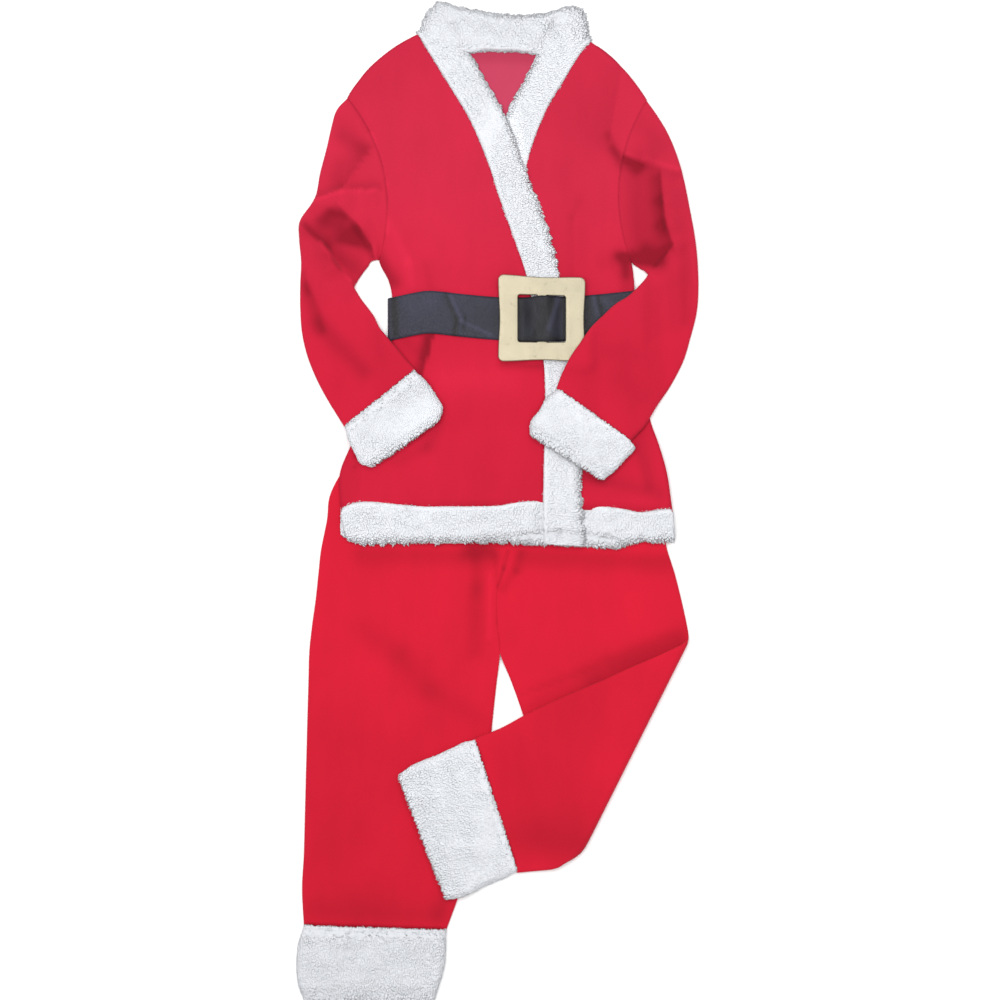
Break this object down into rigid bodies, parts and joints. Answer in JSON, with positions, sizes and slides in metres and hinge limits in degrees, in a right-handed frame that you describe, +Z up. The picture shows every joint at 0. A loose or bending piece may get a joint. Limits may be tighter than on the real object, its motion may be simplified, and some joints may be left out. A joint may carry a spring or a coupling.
{
  "type": "santa suit laid flat",
  "caption": "Child's red fleece Santa suit laid flat: wrap jacket with white fur trim, black belt with square gold buckle, and trousers with one leg folded over.",
  "frame": {"origin": "middle of the laid suit's outline, on the surface that it lies on", "axes": "+Y along the suit towards the collar, +Z up from the surface, +X to the right as the suit is seen from above"},
  "size_m": [0.444, 1.102, 0.0302],
  "materials": {
    "jacket_fleece": "brushed red fleece with a soft short nap",
    "trouser_fleece": "the same red fleece, a little deeper",
    "white_fur": "white curly plush fur",
    "belt_vinyl": "thin black vinyl with soft creases and a satin sheen",
    "buckle_gold": "satin champagne gold coating"
  },
  "bodies": {
    "root": {"band_left": "white_fur", "band_right": "white_fur", "belt": "belt_vinyl", "buckle": "buckle_gold", "collar_back": "white_fur", "cuff_left": "white_fur", "cuff_right": "white_fur", "hem_back": "white_fur", "hem_left": "white_fur", "hem_right": "white_fur", "jacket_back": "jacket_fleece", "jacket_front_left": "jacket_fleece", "jacket_front_right": "jacket_fleece", "leg_cuff_left": "white_fur", "leg_cuff_right": "white_fur", "leg_left": "trouser_fleece", "leg_right": "trouser_fleece", "sleeve_left": "jacket_fleece", "sleeve_right": "jacket_fleece"}
  },
  "joints": []
}
